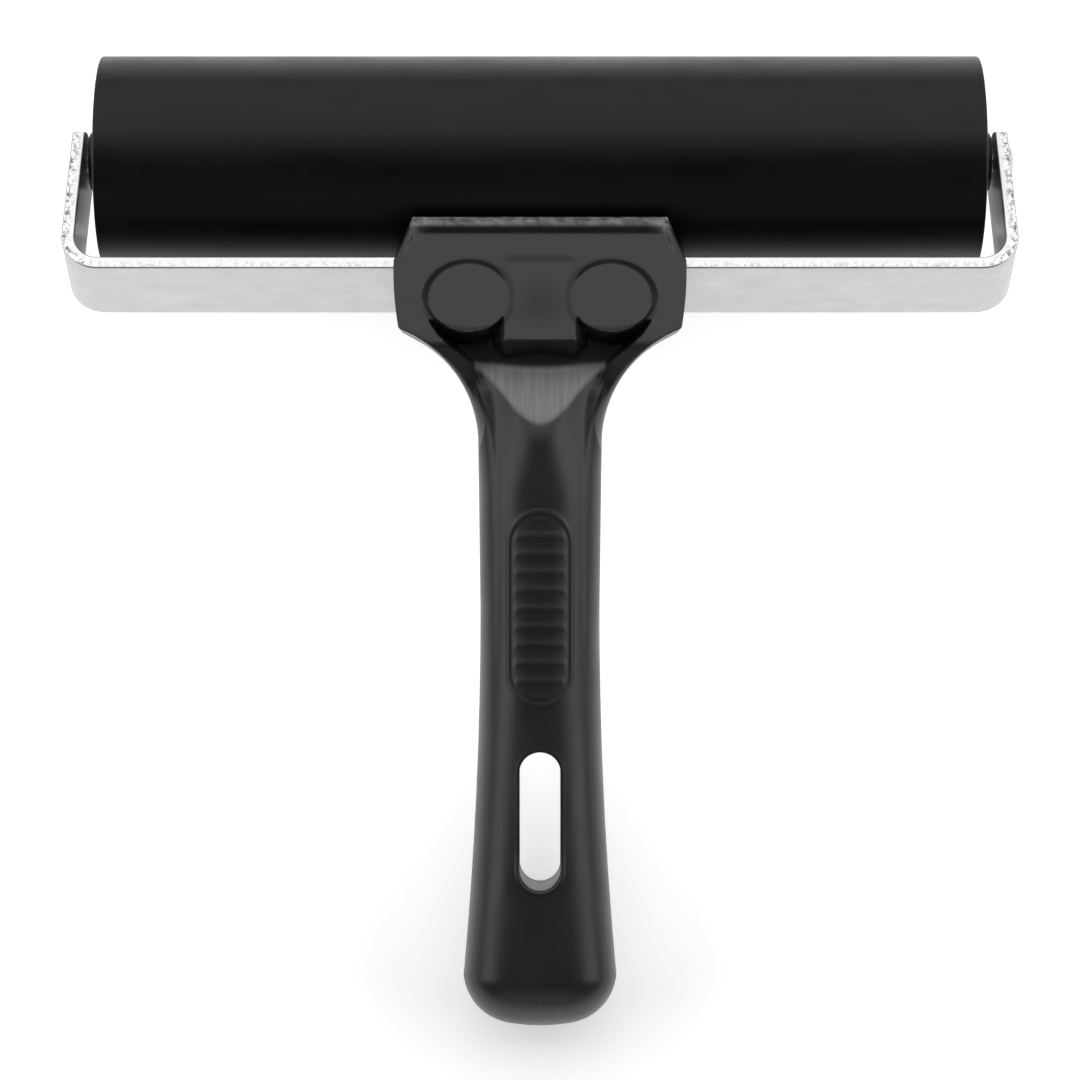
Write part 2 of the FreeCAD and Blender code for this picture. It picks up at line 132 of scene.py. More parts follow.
def solid_lathe(name, profile, body, nodes, material, turns=96):
    """Turn an open outline whose two ends are on the axis, such as a rod."""
    profile = np.array(profile)
    ring = profile[1:-1]
    angle = np.arange(turns) * (2 * math.pi / turns)
    x = np.repeat(ring[:, 0][None, :], turns, axis=0)
    away = np.cos(angle)[:, None] * ring[:, 1][None, :]
    up = np.sin(angle)[:, None] * ring[:, 1][None, :]
    rim = len(ring)
    first, last = turns * rim, turns * rim + 1
    faces = []
    for i in range(turns):
        j = (i + 1) % turns
        faces.append((first, j * rim, i * rim))
        faces.append((last, i * rim + rim - 1, j * rim + rim - 1))
        for k in range(rim - 1):
            faces.append((i * rim + k, j * rim + k, j * rim + k + 1, i * rim + k + 1))
    points = to_row(x, away, up, 0.0).reshape(-1, 3)
    ends = to_row(profile[[0, -1], 0], np.zeros(2), np.zeros(2), 0.0)
    points = np.concatenate([points, ends])
    return make_piece(name, points, faces, body, nodes, material, 50.0)


# ---------------------------------------------------------------- materials


class Shader:
    """A small helper that builds one procedural Principled material."""

    def __init__(self, name, colour, rough, metal=0.0):
        self.material = bpy.data.materials.new(name)
        self.material.use_nodes = True
        self.tree = self.material.node_tree
        self.bsdf = self.tree.nodes["Principled BSDF"]
        self.bsdf.inputs["Metallic"].default_value = metal
        self.bsdf.inputs["Base Color"].default_value = (*colour, 1)
        self.bsdf.inputs["Roughness"].default_value = rough
        self.coords = self.tree.nodes.new("ShaderNodeTexCoord").outputs["Object"]
        self.bump = None

    def node(self, kind, **inputs):
        made = self.tree.nodes.new(kind)
        for key, value in inputs.items():
            socket = made.inputs[key.replace("_", " ")]
            if isinstance(value, bpy.types.NodeSocket):
                self.tree.links.new(value, socket)
            else:
                socket.default_value = value
        return made

    def stretched(self, scale):
        """Object coordinates in metres times a scale for each axis."""
        return self.node("ShaderNodeMapping", Vector=self.coords, Scale=scale).outputs[0]

    def noise(self, scale, detail=3.0, rough=0.55):
        """Noise from 0 to 1, with one scale per axis, in cycles per metre."""
        made = self.node("ShaderNodeTexNoise", Vector=self.stretched(scale), Scale=1.0)
        made.inputs["Detail"].default_value = detail
        made.inputs["Roughness"].default_value = rough
        return made.outputs["Fac"]

    def around_axle(self, along, around):
        """Noise that is fine along the axle and drawn out round it."""
        shift = (0.0, -AXLE_Y, -AXLE_Z)
        moved = self.node("ShaderNodeVectorMath", Vector=self.coords)
        moved.inputs[1].default_value = shift
        split = self.node("ShaderNodeSeparateXYZ", Vector=moved.outputs[0])
        turn = self.math("ARCTAN2", split.outputs[1], split.outputs[2])
        reach = self.node("ShaderNodeCombineXYZ", X=split.outputs[0], Y=turn)
        mapped = self.node("ShaderNodeMapping", Vector=reach.outputs[0], Scale=(along, around, 1))
        made = self.node("ShaderNodeTexNoise", Vector=mapped.outputs[0], Scale=1.0)
        made.inputs["Detail"].default_value = 4.0
        return made.outputs["Fac"]

    def math(self, how, a, b=0.0, c=0.0):
        made = self.tree.nodes.new("ShaderNodeMath")
        made.operation = how
        for socket, value in zip(made.inputs, (a, b, c)):
            if isinstance(value, bpy.types.NodeSocket):
                self.tree.links.new(value, socket)
            else:
                socket.default_value = value
        return made.outputs[0]

    def span(self, value, low, high, start=0.0, end=1.0):
        """Map a value that runs from start to end to one that runs from low to high."""
        made = self.node("ShaderNodeMapRange", Value=value)
        for key, number in zip(("From Min", "From Max", "To Min", "To Max"), (start, end, low, high)):
            made.inputs[key].default_value = number
        return made.outputs[0]

    def blend(self, share, first, second):
        """A colour between two colours."""
        made = self.tree.nodes.new("ShaderNodeMix")
        made.data_type = "RGBA"
        self.tree.links.new(share, made.inputs[0])
        for socket, value in ((made.inputs[6], first), (made.inputs[7], second)):
            if isinstance(value, bpy.types.NodeSocket):
                self.tree.links.new(value, socket)
            else:
                socket.default_value = (*value, 1)
        return made.outputs[2]

    def connect(self, socket, value):
        self.tree.links.new(value, self.bsdf.inputs[socket])

    def relief(self, height, depth):
        """Add a bump of a depth in metres to the shader's normal."""
        made = self.node("ShaderNodeBump", Height=height, Strength=1.0, Distance=depth)
        if self.bump is not None:
            self.tree.links.new(self.bump, made.inputs["Normal"])
        self.bump = made.outputs[0]
        self.connect("Normal", self.bump)


def handle_plastic():
    """Black moulded plastic: satin, uneven, greyer where it is rubbed, with painted highlight on the
    facet and the grip's end, and painted shade, darker and less shiny, in its hollows.
    """
    s = Shader("handle_plastic", (0.013, 0.0135, 0.0135), 0.4)
    s.bsdf.inputs["IOR"].default_value = 1.5
    cloud = s.noise((90, 90, 90))
    grain = s.noise((2600, 2600, 2600), 2.0)
    streak = s.noise((1500, 60, 60), 4.0)
    worn = s.node("ShaderNodeAttribute")
    worn.attribute_name = "wear"
    scuffs = s.span(s.noise((700, 700, 700), 5.0), 0.15, 1, 0.34, 0.64)
    rubbed = s.math("MULTIPLY", worn.outputs["Fac"], scuffs)
    base = s.blend(cloud, (0.0105, 0.011, 0.011), (0.0155, 0.016, 0.016))
    # Painted highlight: the facet and the end of the grip get a lighter grey, broken by the streaks.
    painted_highlight = s.node("ShaderNodeAttribute")
    painted_highlight.attribute_name = "painted_highlight"
    lightened = s.math("MULTIPLY", painted_highlight.outputs["Fac"], s.span(streak, 0.65, 1.0, 0.3, 0.7))
    base = s.blend(lightened, base, (0.21, 0.213, 0.213))
    # Painted shade: where the deep mark is set, the colour is darker and the shine is less.
    deep = s.node("ShaderNodeAttribute")
    deep.attribute_name = "deep"
    base = s.blend(deep.outputs["Fac"], base, (0.008, 0.0083, 0.0083))
    s.connect("Specular IOR Level", s.span(deep.outputs["Fac"], 0.5, 0.32))
    s.connect("Base Color", s.blend(rubbed, base, (0.24, 0.243, 0.243)))
    rough = s.math("ADD", s.span(cloud, 0.33, 0.43, 0.3, 0.7), s.span(streak, -0.04, 0.04))
    s.connect("Roughness", s.math("ADD", rough, s.math("MULTIPLY", rubbed, 0.15)))
    s.relief(grain, 0.000012)
    s.relief(streak, 0.000006)
    return s.material


def black_rubber():
    """Ground rubber: black, smooth, with faint grinding marks round the roller."""
    s = Shader("black_rubber", (0.004, 0.004, 0.0042), 0.5)
    s.bsdf.inputs["Specular IOR Level"].default_value = 0.3
    rings = s.around_axle(2400, 1.5)
    cloud = s.noise((60, 160, 160), 4.0)
    s.connect("Base Color", s.blend(cloud, (0.0006, 0.0006, 0.0006), (0.0014, 0.0014, 0.0014)))
    rough = s.math("ADD", s.span(cloud, 0.36, 0.46, 0.3, 0.7), s.span(rings, -0.03, 0.03))
    s.connect("Roughness", rough)
    s.relief(rings, 0.000004)
    s.relief(s.noise((3000, 3000, 3000), 2.0), 0.000006)
    return s.material


def strip_aluminium():
    """Rolled aluminium strip, brushed along its length, with bright edges pitted on the arms."""
    s = Shader("strip_aluminium", (0.86, 0.86, 0.865), 0.36, 1.0)
    brushed = s.noise((160, 2600, 2600), 5.0, 0.65)
    patches = s.noise((180, 420, 420), 5.0, 0.7)
    speckle = s.noise((900, 1700, 1700), 3.0, 0.7)
    tone = s.math("MULTIPLY_ADD", brushed, 0.5, s.math("MULTIPLY", patches, 0.5))
    bright = s.blend(tone, (0.36, 0.36, 0.365), (0.74, 0.74, 0.745))
    sheared = s.node("ShaderNodeAttribute")
    sheared.attribute_name = "sheared"
    lightened = s.blend(s.span(sheared.outputs["Fac"], 0, 1, 0.05, 0.3), bright, (0.84, 0.84, 0.84))
    pits = s.span(s.noise((1300, 1000, 1000), 3.0, 0.8), 0, 1, 0.5, 0.57)
    across = s.node("ShaderNodeSeparateXYZ", Vector=s.coords).outputs[0]
    arm = s.span(s.math("ABSOLUTE", across), 0.35, 1, 0.0745, 0.0765)
    rough_margin = s.math("MULTIPLY", s.span(sheared.outputs["Fac"], 0, 1, 0.42, 0.85), arm)
    pitted = s.math("MULTIPLY", rough_margin, pits)
    s.connect("Base Color", s.blend(pitted, lightened, (0.16, 0.16, 0.165)))
    rough = s.span(brushed, 0.27, 0.47, 0.3, 0.7)
    s.connect("Roughness", s.math("ADD", rough, s.span(speckle, -0.05, 0.05)))
    s.relief(brushed, 0.000014)
    s.relief(speckle, 0.00001)
    return s.material


def turned_steel(name, shade, rough):
    """Bright turned metal with fine rings about the axle."""
    s = Shader(name, (shade, shade, shade), rough, 1.0)
    rings = s.around_axle(3000, 2.0)
    cloud = s.noise((700, 700, 700), 4.0)
    s.connect("Base Color", s.blend(cloud, (shade * 0.85,) * 3, (min(shade * 1.12, 0.98),) * 3))
    s.connect("Roughness", s.span(cloud, rough - 0.07, rough + 0.08, 0.3, 0.7))
    s.relief(rings, 0.000005)
    return s.material


def bush_plastic():
    """Turned black plastic, duller than the handle."""
    s = Shader("bush_plastic", (0.012, 0.012, 0.0125), 0.5)
    rings = s.around_axle(3200, 2.0)
    s.connect("Roughness", s.span(rings, 0.42, 0.56, 0.3, 0.7))
    s.relief(rings, 0.000006)
    s.relief(s.noise((1800, 1800, 1800)), 0.00001)
    return s.material


# ---------------------------------------------------------------- roller and axle


SLEEVE_WALL, CORE_WALL, AXLE_RADIUS = 5.0, 1.5, 2.0
BUSH_RECESS, NECK_RADIUS = 0.8, 4.9
GROOVE_OUT, GROOVE_IN, GROOVE_DEPTH = 8.6, 7.8, 0.5
RUNNING_GAP, WASHER_GAP = 0.05, 0.15
PEENED_RADIUS, RIVET_RADIUS, HEAD_LENGTH = 2.8, 3.0, 1.5


def outward_span(low, high):
    """How far from the middle a piece beside the roller starts and ends, from its box."""
    return sorted((abs(low.x) / MM, abs(high.x) / MM))


def roller(rubber, tube):
    """The rubber sleeve and the tube in it."""
    sleeve_bore = ROLLER_RADIUS - SLEEVE_WALL
    half = ROLLER_HALF
    box = [(-half, sleeve_bore), (half, sleeve_bore), (half, ROLLER_RADIUS), (-half, ROLLER_RADIUS)]
    sleeve = round_corners(box, (0.15, 0.15, 0.4, 0.4), 6)
    lathe("roller_rubber", sleeve, "roller", ["rubber_sleeve"], rubber, 256)

    core_bore = sleeve_bore - CORE_WALL
    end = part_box("core_tube")[1].x / MM
    wall = [(-end, core_bore), (end, core_bore), (end, sleeve_bore), (-end, sleeve_bore)]
    core = round_corners(wall, (0.2,) * 4, 4)
    lathe("roller_tube", core, "roller", ["core_tube"], tube)


def roller_ends(bush):
    """The end bush and the washer on each side."""
    face, neck, bore = ROLLER_HALF - BUSH_RECESS, NECK_RADIUS, AXLE_RADIUS + RUNNING_GAP
    core_bore = ROLLER_RADIUS - SLEEVE_WALL - CORE_WALL
    for side, word in ((-1, "left"), (1, "right")):
        near, far = outward_span(*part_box(f"end_bush_{word}"))
        plug = [
            (near, bore),
            (far, bore),
            (far, neck),
            (face, neck),
            (face, GROOVE_IN),
            (face - GROOVE_DEPTH, GROOVE_IN),
            (face - GROOVE_DEPTH, GROOVE_OUT),
            (face, GROOVE_OUT),
            (face, core_bore),
            (near, core_bore),
        ]
        radii = (0.2, 0.25, 0.25, 0.3, 0.15, 0.1, 0.1, 0.15, 0.25, 0.2)
        outline = round_corners(plug, radii, 4) * (side, 1)
        lathe(f"bush_{word}", outline, "roller", [f"end_bush_{word}"], bush)

        near, far = outward_span(*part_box(f"washer_{word}"))
        hole = AXLE_RADIUS + WASHER_GAP
        flat = [(near, hole), (far, hole), (far, neck), (near, neck)]
        outline = round_corners(flat, (0.1, 0.1, 0.22, 0.22), 5) * (side, 1)
        lathe(f"washer_ring_{word}", outline, "frame", [f"washer_{word}"], bush)


def axle(steel):
    """The rod, peened over on the left and with a domed head on the right."""
    low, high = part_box("axle_rod")
    seat = high.x / MM - HEAD_LENGTH
    profile = [(low.x / MM, 0.0)]
    profile += dome(-seat, low.x / MM, PEENED_RADIUS, 8)[::-1]
    profile += [(-seat, AXLE_RADIUS), (seat, AXLE_RADIUS)]
    profile += dome(seat, high.x / MM, RIVET_RADIUS, 14)
    profile += [(high.x / MM, 0.0)]
    solid_lathe("axle_with_heads", profile, "frame", ["axle_rod"], steel)


def dome(base, top, radius, steps):
    """A rounded rivet head from its rim towards the axis, as x and radius."""
    turn = np.linspace(0, 0.47 * math.pi, steps)
    out = [(base, radius - 0.15)]
    rim = base + (top - base) * 0.22
    for t in turn:
        out.append((rim + (top - rim) * math.sin(t), radius * math.cos(t)))
    return out


# ---------------------------------------------------------------- bent strip

STRIP_WIDTH, STRIP_THICKNESS = 15.0, 2.2
STRIP_REACH, STRIP_BEND, STRIP_TOE = 23.5, 4.2, math.radians(2.0)
ARM_GAP_HALF, ARM_END_REACH, ARM_END_RADIUS, ARM_STEPS = 77.55, 3.8, 12.0, 24


def strip_path():
    """Half of the strip's inner face, from the middle of the crossbar to the arm's tip."""
    slope = math.tan(STRIP_TOE)
    corner = ARM_GAP_HALF + STRIP_REACH * slope
    tangent = STRIP_BEND * math.tan((math.pi / 2 + STRIP_TOE) / 2)
    start = corner - tangent
    out = [(x, STRIP_REACH, 0.0) for x in np.linspace(0, start, 60)]
    for turn in np.linspace(0, math.pi / 2 + STRIP_TOE, 15)[1:]:
        x = start + STRIP_BEND * math.sin(turn)
        v = STRIP_REACH - STRIP_BEND * (1 - math.cos(turn))
        out.append((x, v, turn))
    x0, v0, turn = out[-1]
    for t in np.linspace(0, 1, ARM_STEPS)[1:]:
        v = v0 + t * (-ARM_END_REACH - v0)
        out.append((x0 + (v - v0) * slope, v, turn))
    return np.array(out)


def bent_strip(material):
    """The strip: its section is carried round the path, and the arms end in an arc."""
    half_width, thick, edge = STRIP_WIDTH / 2, STRIP_THICKNESS, 0.28
    section = [(0, -half_width), (thick, -half_width), (thick, half_width), (0, half_width)]
    section = round_corners(section, (edge,) * 4, 4)
    rim = []
    for i, here in enumerate(section):
        there = section[(i + 1) % len(section)]
        cuts = 14 if abs(there[1] - here[1]) > 5 else 1
        rim += [here + (there - here) * k / cuts for k in range(cuts)]
    rim = np.array(rim)
    half = strip_path()
    path = np.concatenate([half[::-1] * (-1, 1, -1), half[1:]])
    last = len(path) - 1
    arm = ARM_STEPS - 1
    rows = []
    for i, (x, v, turn) in enumerate(path):
        across = x + rim[:, 0] * math.sin(turn)
        away = v + rim[:, 0] * math.cos(turn)
        if i < arm or i > last - arm:
            share = 1 - i / arm if i < arm else 1 - (last - i) / arm
            bow = ARM_END_RADIUS - np.sqrt(ARM_END_RADIUS**2 - rim[:, 1] ** 2)
            away = away + bow * share**2
        rows.append(to_row(across, away, rim[:, 1], FRAME_TILT))
    points = np.array(rows)
    count = len(rim)
    faces = []
    for i in range(last):
        for k in range(count):
            m = (k + 1) % count
            faces.append((i * count + k, i * count + m, (i + 1) * count + m, (i + 1) * count + k))
    faces.append(tuple(reversed(range(count))))
    faces.append(tuple(last * count + k for k in range(count)))
    strip = make_piece("bent_strip", points, faces, "frame", ["frame_bar"],
                       material, 50)
    margin = np.where(np.abs(rim[:, 1]) > half_width - 0.02, 0.3 + 0.7 * rim[:, 0] / thick, 0.0)
    sheared = np.tile(margin, len(path))
    strip.data.attributes.new("sheared", "FLOAT", "POINT").data.foreach_set("value", sheared)
    bevel = strip.modifiers.new("worn_edges", "BEVEL")
    bevel.width, bevel.segments = 0.15 * MM, 2
    bevel.limit_method = "ANGLE"
    bevel.angle_limit = math.radians(55)
    return strip


# ---------------------------------------------------------------- handle

HEAD_BACK, GRIP_END = 10.67, 145.8
PLATE_BACK_HEIGHT, PLATE_BACK_REACH = 16.9, 17.32
CHAMFER_BACK, CHAMFER_SIDE, HEAD_SIDE_END = (20.2, 8.0), (24.4, 18.1), (23.5, 29.2)
ROLLER_HOLLOW, CLAMP_LOW, CLAMP_HIGH = 20.0, -10.5, -7.5
CLAMP_BACK, CLAMP_FRONT, FIT_GAP = 20.9, 38.2, 0.1
PLATE_SLOPE = math.tan(BEND)
GRIP_CENTRE = 20.17
PAD_OFFSET, PAD_REACH, PAD_TOP_RADIUS, PAD_HEIGHT = 11.75, 33.0, 6.6, 1.2
VALLEY_STATION, VALLEY_HEIGHT, RIDGE_STATION, RIDGE_HEIGHT = 36.75, 23.8, 45.6, 28.87
RAMP_SLOPE = (RIDGE_HEIGHT - VALLEY_HEIGHT) / (RIDGE_STATION - VALLEY_STATION)
LENS_LIP, SLOT_START, SLOT_END, SLOT_HALF = 31.65, 99.7, 122.5, 3.4
BUTT_START, SWELL_START, SWELL = 137.5, 95.0, 1.05
HANDLE_SHARP = 42


def arc_points(start, end, radius, turn, steps):
    """Points on the short arc from start to end, without start; turn is 1 for a left turn."""
    start, end = np.array(start, float), np.array(end, float)
    chord = end - start
    half = np.linalg.norm(chord) / 2
    left = np.array((-chord[1], chord[0])) / (2 * half)
    centre = (start + end) / 2 + left * turn * math.sqrt(max(radius**2 - half**2, 0))
    first = math.atan2(*(start - centre)[::-1])
    sweep = 2 * math.asin(min(half / radius, 1)) * turn
    angle = first + sweep * np.arange(1, steps + 1) / steps
    return [tuple(centre + radius * np.array((math.cos(a), math.sin(a)))) for a in angle]


def plan_outline():
    """The handle's outline on one side, as half-width and station."""
    waist, butt = (9.95, 76.0), (12.8, BUTT_START)
    flare = (61.5**2 + 2.85**2) / (2 * 2.85)
    corner, bulge = (4.5, 145.4), 0.4
    cap = (corner[0] ** 2 + bulge**2) / (2 * bulge)
    wing, neck = (23.2, 29.8), (10.3, 48.0)
    out = [CHAMFER_BACK, CHAMFER_SIDE]
    out += arc_points(CHAMFER_SIDE, HEAD_SIDE_END, 60.0, 1, 8)
    out += arc_points(HEAD_SIDE_END, wing, 0.7, 1, 5)
    out += arc_points(wing, neck, 20.5, -1, 30)
    out += [waist]
    out += arc_points(waist, butt, flare, -1, 40)
    out += arc_points(butt, corner, 9.0, 1, 24)
    out += arc_points(corner, (0.0, GRIP_END), cap, 1, 10)
    return np.array(out)


PLAN = plan_outline()


def half_width(s):
    return np.interp(s, PLAN[:, 1], PLAN[:, 0])


def line_distance(points, x, s):
    """Distance from each place to a chain of straight lines in plan."""
    best = np.full(x.shape, 1e9)
    for a, b in zip(points[:-1], points[1:]):
        run = b - a
        t = np.clip(((x - a[0]) * run[0] + (s - a[1]) * run[1]) / (run @ run), 0, 1)
        best = np.minimum(best, (x - a[0] - t * run[0]) ** 2 + (s - a[1] - t * run[1]) ** 2)
    return np.sqrt(best)


def step(value, low, high):
    """A smooth step from 0 at low to 1 at high."""
    t = np.clip((value - low) / (high - low), 0, 1)
    return t * t * (3 - 2 * t)


def soft_min(a, b, k):
    h = np.maximum(k - np.abs(a - b), 0) / k
    return np.minimum(a, b) - h * h * k / 4


def soft_max(a, b, k):
    return -soft_min(-a, -b, k)


def rounding(edge, across, deep):
    """How far a surface has dropped at a distance from its edge, as an elliptic round."""
    t = np.clip(edge / across, 0, 1)
    return deep * (1 - np.sqrt(1 - (1 - t) ** 2))


def plate_height(s):
    """The head's sloping top plate."""
    return PLATE_BACK_HEIGHT + (s - HEAD_BACK) * PLATE_SLOPE


def in_plate(s):
    """Reach v in the strip frame of a place on the plate."""
    return PLATE_BACK_REACH + (s - HEAD_BACK) / math.cos(BEND)


def lip_bead(x, s):
    """The raised bead along the head's back edge, thinner where it turns down its corners."""
    back = s - HEAD_BACK
    chamfer = line_distance(np.array([CHAMFER_BACK, CHAMFER_SIDE]), x, s)
    inward = soft_min(back, 1.7 * chamfer, 1.6)
    fading = 1 - 0.75 * step(s, 13.0, 19.0)
    return (0.95 * step(inward, 3.3, 1.25) - rounding(inward, 1.15, 1.1)) * fading


def round_pads(x, s, front):
    """Height of the two round pads and the saddle between them, above the plate."""
    v = in_plate(s)
    r = np.hypot(x - PAD_OFFSET, v - PAD_REACH)
    outward = np.maximum((x - PAD_OFFSET) / np.maximum(r, 1), 0) ** 2
    skirt = (0.75 + 0.7 * outward) * (1 - 0.5 * front)
    pad = PAD_HEIGHT * (1 - np.maximum(r - PAD_TOP_RADIUS, 0) / skirt)
    dish = 0.8 - 0.8 * step(v, 26.0, 33.5) + 0.25 * step(v, 35.0, 41.0)
    rising = step(v, 26.5, 31.0) - 0.4 * step(v, 37.0, 41.0)
    dish = dish + 1.4 * (x / 5.0) ** 2 * rising
    side = step(x, 8.2, 4.4 + 1.3 * step(v, 28.0, 33.0))
    saddle = soft_min(dish, PAD_HEIGHT - 0.05, 0.4) * step(v, 23.8, 27.0) * side
    saddle = saddle - 1.2 * np.maximum(x - 5.6, 0) ** 2 * step(v, 34.0, 37.0)
    return soft_max(pad, saddle, 0.3)


LIP = np.array(
    [(18.6, 28.2), (16.8, 30.9), (14.5, 33.15), (12.9, 34.3), (11.6, 35.3), (10.75, 37.7),
     (9.6, 41.5), (8.45, 44.7), (7.85, 48.3), (7.35, 54.0), (7.6, 76.0), (8.3, 100.0)]
)
LIP_STEEPNESS, CROWN_SIDE_STEEPNESS, LENS_STEEPNESS = 5.0, 0.8, 2.4
SADDLE_STEEPNESS = 2.4
LENS = np.array([(0.0, LENS_LIP), (6.3, LENS_LIP), (6.9, 28.8), (11.75, 29.4), (18.6, 28.2)])


def hollow_wall(x, s):
    """How far the wall of the hollow between head and grip has fallen, negative outside it."""
    inside = (s > np.interp(x, LENS[:, 0], LENS[:, 1])) & (x < np.interp(s, LIP[:, 1], LIP[:, 0]))
    inside &= s > 28.2
    beside, behind = line_distance(LIP, x, s), line_distance(LENS, x, s)
    steep = LIP_STEEPNESS + (CROWN_SIDE_STEEPNESS - LIP_STEEPNESS) * step(s, 34.0, 40.0)
    fall = np.minimum(steep * beside, LENS_STEEPNESS * behind)
    return np.where(inside, fall, -np.minimum(beside, behind))


def crown(x, s):
    """The grip's rounded spine, which narrows towards the head."""
    wide = np.maximum(half_width(np.maximum(s, 48.0)), 0.05)
    high = 8.7 + SWELL * step(s, SWELL_START, BUTT_START)
    power = 2.0 + 0.5 * step(s, 80, 140)
    t = np.clip(x / wide, 0, 1)
    oval = high * (1 - t**power) ** (1 / power)
    neck = 8.7 - 6.2 * (1 - np.exp(-((x / 7.2) ** 2)))
    share = step(s, 58.0, 42.0)
    return GRIP_CENTRE + share * neck + (1 - share) * oval


def butt_round(s):
    """How the section closes towards the end of the grip."""
    t = np.clip((s - BUTT_START) / (GRIP_END - BUTT_START), 0, 1)
    return np.sqrt(np.maximum(1 - t**2, 0))


def ramp_height(s):
    """The flat facet that climbs from the valley to the top of the grip."""
    return VALLEY_HEIGHT + (s - VALLEY_STATION) * RAMP_SLOPE


def shoulder_height(s, edge):
    """The head's plate and, after it, the wings that run down into the grip's flanks."""
    flange = 28.0 - 3.6 * step(s, 31.5, 39.0) + 0.7 * step(s, 46.0, 60.0)
    level = soft_min(plate_height(s), flange, 1.6)
    grown = 1.0 * step(s, SWELL_START, BUTT_START)
    wide = 0.35 + 2.3 * step(s, 33.0, 47.0)
    deep = 0.35 + 4.6 * step(s, 33.0, 49.0)
    return level + grown - rounding(edge, wide, deep)


def grip_height(x, s, edge):
    """The shoulders, and inside them the hollow, the facet and the grip's spine."""
    shoulder, spine = shoulder_height(s, edge), crown(x, s)
    fall = hollow_wall(x, s)
    fade = step(s, 62.0, 104.0)
    outer = np.where(fall > 0, shoulder - np.maximum(fall, 0), shoulder)
    outer = outer * (1 - fade) + (spine - rounding(edge, 1.6, 1.2)) * fade
    floor = VALLEY_HEIGHT - 0.9 * (x / 10.9) ** 2
    valley = soft_max(ramp_height(s), floor, 0.12)
    inner = soft_min(valley, spine, 0.45 + 1.5 * step(s, 42.0, 46.0))
    outside = np.maximum(-fall - 0.6 - 3.0 * step(s, 44.0, 54.0), 0)
    inner = inner - rounding(edge, 1.6, 1.2) * fade - 2.0 * outside
    blend = (0.3 + 1.9 * step(s, 36.0, 41.0)) * (1 - fade) + 1e-6
    return soft_max(outer, inner, blend)


def top_height(x, s, edge):
    """The handle's upper surface."""
    x = np.abs(x)
    head = grip_height(x, s, edge) + lip_bead(x, s) * step(s, 20.0, 17.0)
    front = step(in_plate(s) - PAD_REACH, 0.0, 4.0)
    pads = plate_height(s) + round_pads(x, s, front)
    pads = pads - SADDLE_STEEPNESS * np.maximum(s - LENS_LIP, 0)
    head = soft_max(head, pads, 0.2)
    top = GRIP_CENTRE + (head - GRIP_CENTRE) * butt_round(s)
    slot = slot_distance(x, s)
    lower_end = 0.3 + 0.7 * step(s, 114.0, 120.0)
    rim = 0.12 * lower_end * np.exp(-(((slot - 0.45) / 0.2) ** 2)) - rounding(slot, 0.25, 0.25)
    return top + np.where(slot < 3, rim, 0)


def bottom_height(x, s, edge):
    """The handle's lower surface: hollow round the roller, flat under the head, then the grip."""
    x = np.abs(x)
    hollow = np.sqrt(np.maximum(ROLLER_HOLLOW**2 - s * s, 0))
    flat = PLATE_SLOPE * s + CLAMP_LOW / math.cos(BEND)
    v = s * math.cos(BEND) + flat * math.sin(BEND)
    recess = (v > CLAMP_BACK - FIT_GAP) & (v < CLAMP_FRONT + FIT_GAP)
    flat = flat + np.where(recess, (CLAMP_HIGH - CLAMP_LOW) / math.cos(BEND), 0)
    high = 8.7 + SWELL * step(s, SWELL_START, BUTT_START)
    wide = np.maximum(half_width(s), 0.05)
    t = np.clip(x / wide, 0, 1)
    belly = GRIP_CENTRE - high * (1 - t**3.2) ** (1 / 3.2) * butt_round(s)
    joined = soft_min(flat, belly, 0.8)
    joined = joined + rounding(edge, 0.5, 0.5) * step(s, 40.0, 30.0)
    low = np.maximum(hollow, joined)
    slot = slot_distance(x, s)
    return low + np.where(slot < 0.5, rounding(slot, 0.5, 0.5), 0)


def slot_distance(x, s):
    """Distance outside the hang slot's edge."""
    near, far = SLOT_START + SLOT_HALF, SLOT_END - SLOT_HALF
    return np.hypot(x, s - np.clip(s, near, far)) - SLOT_HALF


def stations():
    """Where the handle's sections lie: close in the head, at the slot and at the butt."""
    parts = [
        np.arange(HEAD_BACK, 13.0, 0.13),
        np.arange(13.0, 50.0, 0.22),
        np.arange(50.0, 98.0, 0.42),
        np.arange(98.0, 124.0, 0.25),
        np.arange(124.0, BUTT_START, 0.5),
        GRIP_END - (GRIP_END - BUTT_START) * (1 - np.linspace(0, 1, 44)) ** 2,
    ]
    return np.concatenate(parts)


def snap_to_slot(x, s, keep):
    """Move the corners that kept and dropped cells share onto the slot's edge."""
    kept, dropped = np.zeros(x.shape, bool), np.zeros(x.shape, bool)
    for rows in (slice(None, -1), slice(1, None)):
        for columns in (slice(None, -1), slice(1, None)):
            kept[rows, columns] |= keep
            dropped[rows, columns] |= ~keep
    middle = np.clip(s, SLOT_START + SLOT_HALF, SLOT_END - SLOT_HALF)
    reach = np.maximum(np.hypot(x, s - middle), 1e-6)
    scale = np.where(kept & dropped, SLOT_HALF / reach, 1)
    return x * scale, middle + (s - middle) * scale


def thumb_ribs(x, s):
    """A plain rounded panel of low ribs for the thumb."""
    start, end, half, pitch = 60.0, 92.0, 5.2, 3.0
    middle = np.clip(s, start + half, end - half)
    inside = half - np.hypot(x, s - middle)
    frame_line = 0.14 * np.exp(-((inside / 0.28) ** 2))
    wave = 0.5 + 0.5 * np.cos((s - (start + end) / 2) * 2 * math.pi / pitch)
    ribs = 0.12 * wave**3 * step(inside, 0.7, 1.3)
    return frame_line + ribs


